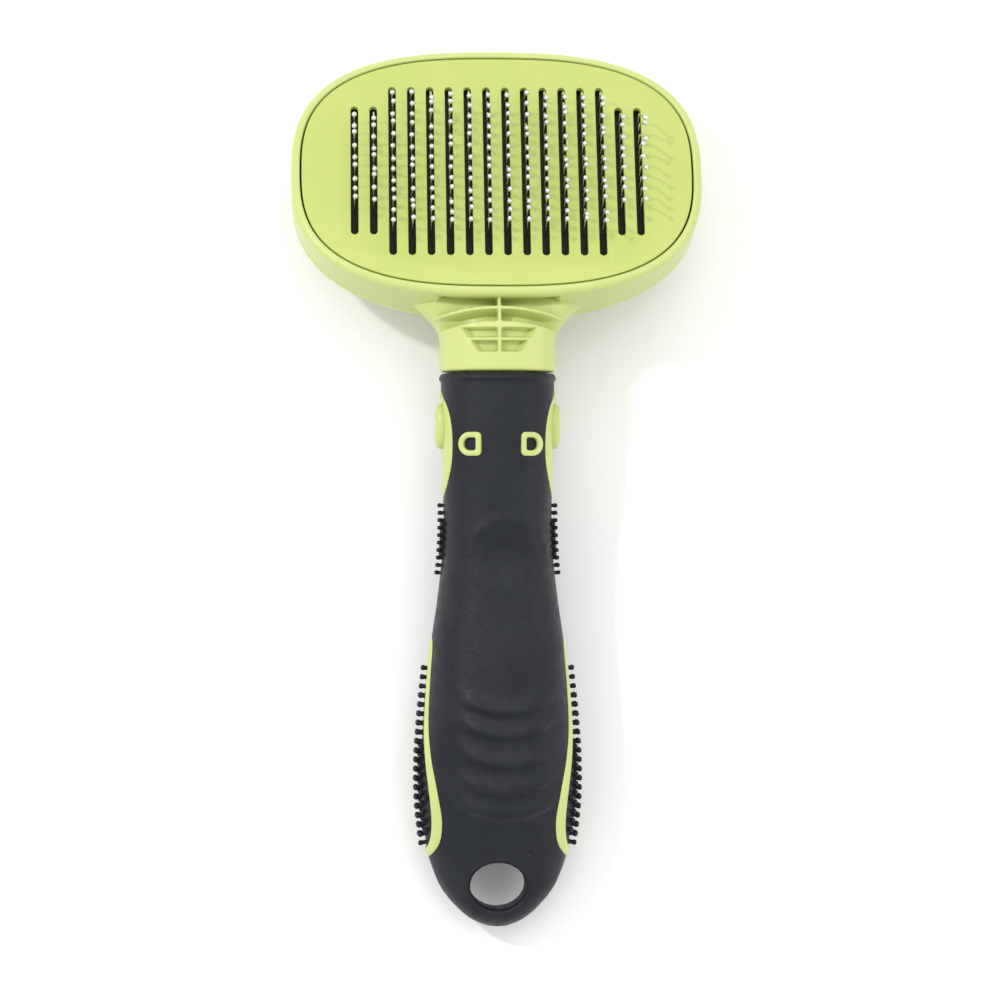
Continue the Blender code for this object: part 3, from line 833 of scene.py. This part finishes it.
# Pan head screw looking down
def addScrew(shape, place, seat):
    rings = []
    for step in range(7):
        turn = 0.5 * math.pi * step / 6
        rings.append((screw["headRadius"] * (0.35 + 0.65 * math.sin(turn)),
                      seat - screw["headHigh"] * (0.35 + 0.65 * math.cos(turn))))
    end, taper = screw["point"]
    tip = screw["tip"]
    rings += [(screw["headRadius"], seat), (screw["radius"], seat)]
    rings += [(screw["radius"], tip + taper), (end, tip)]
    skin(shape, [[(place[0] + x, place[1] + y, height) for x, y in circle(radius, 40)]
                 for radius, height in rings])


def crossCutter(place, seat):
    far, near = screw["cross"]
    quarter = [(near, -far), (near, -near), (far, -near)]
    outline = []
    for turn in range(4):
        outline += quarter
        quarter = [(-y, x) for x, y in quarter]
    low, high = screw["crossSpan"]
    taper = screw["crossTaper"]
    shape = bmesh.new()
    skin(shape, [[(x + place[0], y + place[1], seat - low) for x, y in outline],
                 [(place[0] + taper * x, place[1] + taper * y, seat - high) for x, y in outline]])
    return newPiece("crossCutter", shape, headPlace)


def makeCoverScrews():
    for index, place in enumerate(cover["screws"]):
        seat = -cover["depth"] + screw["seat"]
        shape = bmesh.new()
        addScrew(shape, place, seat)
        piece = newPiece("coverScrew%d" % (index + 1), shape, headPlace)
        carve(piece, [crossCutter(place, seat)])
        finishPiece(piece, [steel], "head", ["cover_screw_%d" % (index + 1)], 40.0)


makeBackCover()
makePushButton()
makeCoverScrews()
print("back of the head made")


handle = {
    # distance from tail, half width, half thickness, height of the middle
    "stations": [
        (0.0, 0.6, 1.6, -2.7), (0.25, 2.6, 3.0, -2.6), (1.6, 5.8, 5.0, -2.4), (4.0, 8.9, 6.2, -2.1),
        (8.6, 12.8, 7.0, -1.6), (13.3, 15.0, 8.0, -1.0), (18.0, 16.4, 9.4, -0.5), (24.0, 17.3, 11.2, -0.1),
        (31.0, 17.9, 12.8, 0.0), (40.0, 17.9, 13.7, 0.0), (50.0, 17.2, 14.12, 0.0),
        (59.0, 16.3, 13.8, 0.0), (67.0, 15.4, 13.0, 0.0), (76.0, 14.1, 12.2, 0.0),
        (86.0, 13.0, 11.6, 0.0), (96.0, 12.6, 11.4, 0.0), (106.0, 12.9, 11.5, 0.0),
        (116.0, 13.2, 11.7, 0.0), (126.0, 13.2, 11.8, 0.0), (129.0, 13.2, 11.8, 0.0)],
    "power": 2.3,
    "points": 320,
    "step": 0.4,
    "end": 128.7,
    "rubber": 2.2,
    "ridges": [51.8, 46.3, 39.6, 33.1, 27.5],
    "ridgeX": 1.4,
    "ridgeHigh": 1.05,
    "ridgeSpan": (5.94, 13.2),           # a ridge fades out between these distances from its middle
    "ridgeCurve": 0.028,
    "ridgeDrop": 1.2,
    "ridgeSlopes": (0.9, 2.7),           # widths of its steep side and its long side
    "dimple": (1.8, 86.6, 8.0, 7.6, 0.8),     # x, distance from tail, half sizes, depth
    "dimpleRing": (0.22, 1.12, 0.16, 0.35),   # height, place, width, share on the tail side
    "hole": (0.0, 9.9, 6.5, 5.5, 1.7),        # x, distance from tail, half sizes, rounding
    "lip": (126.9, 127.5, 127.9, 128.9, 0.42),
    "lowerWindow": [(67.4, 0.0), (65.8, 3.2), (57.0, 4.7), (48.0, 5.9), (40.0, 7.5), (33.0, 8.6),
                    (26.5, 8.4), (21.0, 6.6), (17.8, 3.8), (16.6, 0.0)],
    "upperWindow": [(125.2, 0.0), (123.6, 3.2), (121.0, 5.9), (117.0, 7.2), (112.0, 7.4), (107.0, 6.7),
                    (103.0, 4.9), (100.7, 2.4), (99.8, 0.0)],
    "nubWindow": [(99.4, 0.0), (97.6, 2.9), (92.5, 4.3), (87.5, 4.1), (83.3, 2.8), (81.4, 0.0)],
    "windowGap": 0.12,
    "borderWide": 1.9,
    "borderTip": (40.0, 65.5, 61.6),     # the pad's far end is drawn back from the border's tip
}


def handleAt(along):
    return between(handle["stations"], along)


# How far out the handle's side is at a height
def sideX(along, height):
    halfX, halfZ, middle = handleAt(along)
    ratio = min(abs(height - middle) / halfZ, 0.999)
    return halfX * (1.0 - ratio ** handle["power"]) ** (1.0 / handle["power"])


def frontZ(x, along):
    halfX, halfZ, middle = handleAt(along)
    ratio = min(abs(x) / halfX, 0.999)
    return middle + halfZ * (1.0 - ratio ** handle["power"]) ** (1.0 / handle["power"])


# Height of the grip's moulded relief above its plain form
def gripLift(x, along, front):
    lift = 0.0
    if front:
        off = x - handle["ridgeX"]
        fade = 1.0 - smoothStep(*handle["ridgeSpan"], abs(off))
        steep, gentle = handle["ridgeSlopes"]
        for centre in handle["ridges"]:
            past = along - (centre + handle["ridgeCurve"] * off ** 2 - handle["ridgeDrop"])
            lift += handle["ridgeHigh"] * fade * math.exp(-(past / (steep if past < 0 else gentle)) ** 2)
        x0, y0, wide, high, deep = handle["dimple"]
        reach = math.hypot((x - x0) / wide, (along - y0) / high)
        lift -= deep * (1.0 - smoothStep(0.25, 1.0, reach))
        tall, place, width, share = handle["dimpleRing"]
        lift += tall * math.exp(-((reach - place) / width) ** 2) * (1.0 if along > y0 else share)
    start, full, fall, end, tall = handle["lip"]
    return lift + tall * smoothStep(start, full, along) * (1.0 - smoothStep(fall, end, along))


def gripRings(inset, start, end, step, relief=True):
    rings = []
    size = max(int((end - start) / step), 2)
    for index in range(size + 1):
        along = start + (end - start) * index / size
        halfX, halfZ, middle = handleAt(along)
        ring = []
        for x, z in superellipse(max(halfX - inset, 0.3), max(halfZ - inset, 0.3), handle["power"],
                                 handle["points"]):
            if relief:
                lift = gripLift(x, along, z > 0.0)
                if lift:
                    out = Vector((x / halfX ** 2, z / halfZ ** 2)).normalized()
                    x, z = x + out.x * lift, z + out.y * lift
            ring.append((x, along, middle + z))
        rings.append(ring)
    return rings


# Both halves of a side window, seen from the side, made larger by grow
def windowOutline(points, grow, count):
    full = points + [(along, -height) for along, height in points[-2:0:-1]]
    return offsetLoop(smoothLoop(full, count), grow)


def windowCutter(points, side, grow):
    shape = bmesh.new()
    loop = windowOutline(points, grow, 160)
    rings = []
    for deep in (handle["rubber"] + 0.2, -3.0):
        rings.append([(side * (sideX(along, height) - deep), along, height) for along, height in loop])
    skin(shape, rings)
    return newPiece("windowCutter", shape, handlePlace)


# The hanging hole, whose rounded edges follow the handle's surface
def holeCutter():
    x0, y0, halfX, halfY, fillet = handle["hole"]
    profile = [(fillet + 0.9, 1.2), (fillet + 0.25, 0.12)]
    for step in range(10):
        turn = 0.5 * math.pi * step / 9
        profile.append((fillet * (1.0 - math.sin(turn)), -fillet * (1.0 - math.cos(turn))))
    rings = []
    for front in (1.0, -1.0):
        part = []
        for grow, lift in profile:
            ring = []
            for x, y in superellipse(halfX + grow, halfY + grow, 2.0, 144):
                middle = handleAt(y0 + y)[2]
                surface = frontZ(x, y0 + y) - middle
                ring.append((x0 + x, y0 + y, middle + front * (surface + lift)))
            part.append(ring)
        rings += part if front > 0 else part[::-1]
    shape = bmesh.new()
    skin(shape, rings)
    return newPiece("holeCutter", shape, handlePlace)


eyelet = {
    "middle": (7.25, 112.4),
    "shift": 0.35,
    "lean": 26.0,
    "outer": (2.8, 2.75),
    "inner": (1.55, 1.5),
    "gap": 0.08,
    "sink": 0.9,
    "section": [(0.0, -0.8), (0.0, 0.1), (0.12, 0.28), (0.35, 0.38), (0.65, 0.38), (0.88, 0.28),
                (1.0, 0.1), (1.0, -0.8)],
}


def eyeletPlace(side):
    x, along = eyelet["middle"]
    lean = Matrix.Rotation(math.radians(side * eyelet["lean"]), 4, "Y")
    x = side * x + eyelet["shift"]
    return handlePlace @ Matrix.Translation((x, along, frontZ(x, along))) @ lean


# A D with its flat side towards the middle of the grip
def dOutline(halfWide, halfHigh, side, count=64):
    corner = 0.35 * halfHigh
    raw = []
    for turn in range(19):
        angle = 0.5 * math.pi - math.pi * turn / 18
        raw.append((0.05 * halfWide + 0.95 * halfWide * math.cos(angle), halfHigh * math.sin(angle)))
    for y, start in ((-halfHigh + corner, -0.5), (halfHigh - corner, -1.0)):
        for turn in range(6):
            angle = math.pi * (start - 0.5 * turn / 5)
            raw.append((-halfWide + corner + corner * math.cos(angle), y + corner * math.sin(angle)))
    loop = evenly(raw, count)
    return [(side * x, y) for x, y in (loop if side > 0 else loop[::-1])]


def makeGrip():
    shape = bmesh.new()
    outer = gripRings(0.0, 0.0, 12.0, 0.22)
    outer += gripRings(0.0, 12.0, 126.0, handle["step"])[1:]
    outer += gripRings(0.0, 126.0, handle["end"], 0.12)[1:]
    inner = gripRings(handle["rubber"], 22.0, 128.0, 3.0, False)
    lip = [[(x * 0.985, along + 0.12, z * 0.985) for x, along, z in outer[-1]]]
    skin(shape, outer + lip + inner[::-1])
    grip = newPiece("rubberGrip", shape, handlePlace)
    cutters = [holeCutter()]
    for side in (1.0, -1.0):
        for window in ("lowerWindow", "upperWindow", "nubWindow"):
            cutters.append(windowCutter(handle[window], side, handle["windowGap"]))
        seat = bmesh.new()
        loop = dOutline(eyelet["outer"][0] + eyelet["gap"], eyelet["outer"][1] + eyelet["gap"], side)
        skin(seat, stack(loop, (0.0, 0.0), (-eyelet["sink"], 4.0)))
        cutters.append(newPiece("eyeletSeat", seat, eyeletPlace(side)))
    carve(grip, cutters)
    finishPiece(grip, [rubber], "handle", ["rubber_grip"], 40.0)


makeGrip()
print("grip made")


def sidePoint(along, height, out, side):
    return (side * (sideX(along, height) + out), along, height)


# A section has the share of the way from a band's outer to its inner edge, and the height over the side
border = {
    "section": [(0.0, -1.9), (0.0, 0.05), (0.05, 0.2), (0.18, 0.34), (0.5, 0.42), (0.82, 0.36), (0.95, 0.2),
                (1.0, 0.0), (1.0, -1.9)],
}
panel = {
    "section": [(0.0, -1.9), (0.0, -0.1), (0.02, 0.06), (0.06, 0.16), (0.15, 0.3), (0.21, 0.2),
                (0.25, -0.05), (0.32, -0.12), (0.6, -0.12), (0.9, -0.12), (0.96, -0.2),
                (1.0, -0.35), (1.0, -1.9)],
    "hole": (5.5, 3.8, 2.2),      # half sizes, roundness
}
release = {
    "half": (5.3, 3.6, 2.2),      # half sizes, roundness
    # distance out from the handle's middle, inset
    "section": [(10.4, 0.0), (13.3, 0.0), (13.9, 0.18), (14.3, 0.6), (14.5, 1.2), (14.58, 2.0), (14.6, 3.0)],
}


# A band between two loops on the handle's side, with the section's shares and heights
def strip(shape, outer, inner, side, section):
    rings = []
    for share, out in section:
        rings.append([sidePoint(a[0] + (b[0] - a[0]) * share, a[1] + (b[1] - a[1]) * share, out, side)
                      for a, b in zip(outer, inner)])
    skin(shape, rings, closed=True)


# A closed pad that fills a loop on the handle's side, with a rounded edge
def cap(shape, loop, side, high, deep):
    middle = sum(point[0] for point in loop) / len(loop)
    flat, layers = 0.96, 10
    levels = [(1.0, -deep), (1.0, high - 0.25), (0.985, high - 0.07), (flat, high)]
    levels += [(flat * (1.0 - step / layers), high) for step in range(1, layers)]
    skin(shape, [[sidePoint(middle + (along - middle) * share, height * share, out, side)
                  for along, height in loop] for share, out in levels])


nubs = {
    # pitch along, pitch between rows, radius, height, height of the outer rows
    "lower": (2.13, 1.95, 0.64, 1.75, 1.15),
    "upper": (1.75, 1.6, 0.52, 1.4, 1.0),
    "padDepth": 1.9,
    "padGap": 0.08,
}


# One round-headed nub standing out of the handle's side
def addNub(shape, along, height, side, radius, tall):
    here = Vector(sidePoint(along, height, 0.0, side))
    reach = 0.2
    above, below = (Vector(sidePoint(along, height + off, 0.0, side)) for off in (reach, -reach))
    ahead, behind = (Vector(sidePoint(along + off, height, 0.0, side)) for off in (reach, -reach))
    out = (ahead - behind).cross(above - below).normalized()
    if out.x * side < 0.0:
        out = -out
    turn = out.to_track_quat("Z", "Y").to_matrix()
    rings = []
    for size, level in ((1.1, -0.6), (0.8, 0.15), (0.78, tall - 1.0), (1.0, tall - 0.7), (0.98, tall - 0.4),
                        (0.8, tall - 0.13), (0.42, tall)):
        rings.append([here + turn @ Vector((x, y, level)) for x, y in circle(radius * size, 14)])
    skin(shape, rings)


def inside(loop, along, height):
    hit = False
    for (a, b), (c, d) in zip(loop, loop[1:] + loop[:1]):
        if (b > height) != (d > height) and along < a + (height - b) * (c - a) / (d - b):
            hit = not hit
    return hit


# Rows of nubs: the middle three stand tall and level, and those beyond are shorter and staggered
def addNubField(shape, loop, side, pitch, rowPitch, radius, tall, shortTall):
    low = min(point[0] for point in loop)
    high = max(point[0] for point in loop)
    rows = int(max(point[1] for point in loop) / rowPitch)
    start = low + 0.5 * ((high - low) % pitch)
    for row in range(-rows, rows + 1):
        outer = abs(row) > 1
        for step in range(int((high - low) / pitch) + 1):
            along = start + pitch * (step + (0.5 if outer and row % 2 == 0 else 0.0))
            if inside(loop, along, row * rowPitch):
                addNub(shape, along, row * rowPitch, side, radius, shortTall if outer else tall)


# The lower pad's loop with its far end drawn back, so that the border fills the window's tip
def drawBack(loop):
    start, end, target = handle["borderTip"]
    share = (target - start) / (end - start)
    return [(start + (along - start) * share if along > start else along, height) for along, height in loop]


# The loop's points in the order and place that suit another loop, by angle about the loop's middle
def matchLoop(loop, guide):
    middle = [sum(point[axis] for point in loop) / len(loop) for axis in (0, 1)]

    def angleOf(point):
        return math.atan2(point[1] - middle[1], point[0] - middle[0])

    def apart(point, other):
        return abs(math.remainder(angleOf(point) - angleOf(other), 2 * math.pi))

    return [min(loop, key=lambda point: apart(point, other)) for other in guide]


def lowerPadLoop():
    return drawBack(offsetLoop(windowOutline(handle["lowerWindow"], 0.0, 160), -handle["borderWide"]))


def makeLowerTrim(side, word):
    shape = bmesh.new()
    outer = windowOutline(handle["lowerWindow"], 0.0, 160)
    strip(shape, outer, lowerPadLoop(), side, border["section"])
    piece = newPiece("lowerTrim" + word.capitalize(), shape, handlePlace)
    finishPiece(piece, [lime], "handle", ["lower_trim_" + word])


def makeLowerNubs(side, word):
    shape = bmesh.new()
    pad = offsetLoop(lowerPadLoop(), -nubs["padGap"])
    cap(shape, pad, side, -0.1, nubs["padDepth"])
    addNubField(shape, offsetLoop(pad, -0.8), side, *nubs["lower"])
    piece = newPiece("lowerNubs" + word.capitalize(), shape, handlePlace)
    finishPiece(piece, [rubber], "handle", ["lower_nub_pad_" + word])


def makeUpperNubs(side, word):
    shape = bmesh.new()
    pad = windowOutline(handle["nubWindow"], -0.02, 120)
    cap(shape, pad, side, 0.0, nubs["padDepth"])
    addNubField(shape, offsetLoop(pad, -0.55), side, *nubs["upper"])
    piece = newPiece("upperNubs" + word.capitalize(), shape, handlePlace)
    finishPiece(piece, [rubber], "handle", ["upper_nub_pad_" + word])


def makeUpperTrim(side, word):
    shape = bmesh.new()
    outer = windowOutline(handle["upperWindow"], 0.0, 160)
    hole = [(layout["buttonFromTail"] + x, y) for x, y in superellipse(*panel["hole"], 160)]
    strip(shape, outer, matchLoop(hole, outer), side, panel["section"])
    piece = newPiece("upperTrim" + word.capitalize(), shape, handlePlace)
    finishPiece(piece, [lime], "handle", ["upper_trim_" + word])


def makeReleaseButton(side, word):
    shape = bmesh.new()
    halfAlong, halfHigh, power = release["half"]
    rings = []
    for out, inset in release["section"]:
        rings.append([(side * out, layout["buttonFromTail"] + x, y)
                      for x, y in superellipse(halfAlong - inset, max(halfHigh - inset, 0.3), power, 96)])
    skin(shape, rings)
    piece = newPiece("releaseButton" + word.capitalize(), shape, handlePlace)
    finishPiece(piece, [lime], "release_" + word, ["release_button_" + word])


def makeEyelet(side, word):
    shape = bmesh.new()
    loop, gap = dOutline(*eyelet["outer"], side), dOutline(*eyelet["inner"], side)
    rings = []
    for share, height in eyelet["section"]:
        rings.append([(a[0] + (b[0] - a[0]) * share, a[1] + (b[1] - a[1]) * share, height)
                      for a, b in zip(loop, gap)])
    skin(shape, rings, closed=True)
    piece = newPiece("gripEyelet" + word.capitalize(), shape, eyeletPlace(side))
    finishPiece(piece, [lime], "handle", ["grip_eyelet_" + word])


for side, word in ((1.0, "right"), (-1.0, "left")):
    makeLowerTrim(side, word)
    makeLowerNubs(side, word)
    makeUpperNubs(side, word)
    makeUpperTrim(side, word)
    makeReleaseButton(side, word)
    makeEyelet(side, word)
print("side pieces made")


# Hidden pieces that keep their CAD shape
carriedOver = {
    "pin_pad": padFinish, "pin_bed": padFinish, "lift_frame": lime,
    "handle_core_front": lime, "handle_core_back": lime,
    "handle_screw_1": steel, "handle_screw_2": steel, "handle_screw_3": steel,
    "release_spring_left": steel, "release_spring_right": steel,
    "return_spring_1": steel, "return_spring_2": steel, "return_spring_3": steel, "return_spring_4": steel,
}
for node, finish in carriedOver.items():
    data = frame["nodes"][node].data
    for index in range(len(data.materials)):
        data.materials[index] = finish


studio = {
    "cameraDistance": 0.900,
    "cameraLeft": 2.6,              # degrees
    "foot": 94.8,                   # where the camera stands over the handle, from the tail
    "target": (0.6, 99.5),
    "viewWidth": 0.233,
    "sensor": 36.0,
    "sky": 1.0,
    "floorSize": 2.5,
    "floorDrop": -0.0002,
    "floorGrey": (0.93, 0.95),
    # place, size and power; the key light's place is a direction out of the head, the others' is in the room
    "keyLight": ((-0.67, 0.03, 1.0), 0.09, 4.6),
    "topLight": ((0.15, 0.55, 1.3), 0.9, 3.2),
    "rightLight": ((0.9, -0.1, 0.6), 0.5, 1.0),
}


def makeFloor():
    shape = bmesh.new()
    bmesh.ops.create_grid(shape, x_segments=2, y_segments=2, size=studio["floorSize"])
    floor = newPiece("floor", shape, Matrix.Identity(4))
    floor.location.z = studio["floorDrop"]
    finish, shader, spot = newFinish("paleFloor")
    cloud = noiseAt(finish, spot, 3.0, 2.0)
    low, high = studio["floorGrey"]
    link(finish, softRamp(finish, cloud, grey(low), grey(high)), shader.inputs["Base Color"])
    shader.inputs["Roughness"].default_value = 0.9
    floor.data.materials.append(finish)


def addLight(name, place, target, size, power):
    data = bpy.data.lights.new(name, "AREA")
    data.shape = "DISK"
    data.size = size
    data.energy = power
    light = bpy.data.objects.new(name, data)
    bpy.context.scene.collection.objects.link(light)
    light.location = place
    light.rotation_euler = (target - light.location).to_track_quat("-Z", "Y").to_euler()


def makeLights():
    world = bpy.data.worlds.new("studio")
    world.use_nodes = True
    sky = world.node_tree.nodes["Background"]
    sky.inputs["Color"].default_value = (1.0, 1.0, 1.0, 1.0)
    sky.inputs["Strength"].default_value = studio["sky"]
    bpy.context.scene.world = world
    head = headPlace.translation
    place, size, power = studio["keyLight"]
    addLight("keyLight", head + headPlace.to_3x3().normalized() @ Vector(place), head, size, power)
    for name in ("topLight", "rightLight"):
        place, size, power = studio[name]
        addLight(name, Vector(place), Vector((0.0, 0.0, 0.0)), size, power)


def makeCamera():
    distance = studio["cameraDistance"]
    up = handlePlace.to_3x3().normalized().col[2]
    target = handlePlace @ Vector((studio["target"][0], studio["target"][1], 0.0))
    left = math.tan(math.radians(studio["cameraLeft"])) * distance
    eye = handlePlace @ Vector((0.0, studio["foot"], 0.0)) + up * distance - across * left
    data = bpy.data.cameras.new("camera")
    data.sensor_width = studio["sensor"]
    data.lens = studio["sensor"] * distance / studio["viewWidth"]
    camera = bpy.data.objects.new("camera", data)
    bpy.context.scene.collection.objects.link(camera)
    back = (eye - target).normalized()
    right = handleAxis.cross(back).normalized()
    turn = Matrix((right, back.cross(right), back)).transposed().to_4x4()
    camera.matrix_world = Matrix.Translation(eye) @ turn
    bpy.context.scene.camera = camera


makeFloor()
makeLights()
makeCamera()
bpy.context.scene.view_settings.view_transform = "Standard"
print("studio made")
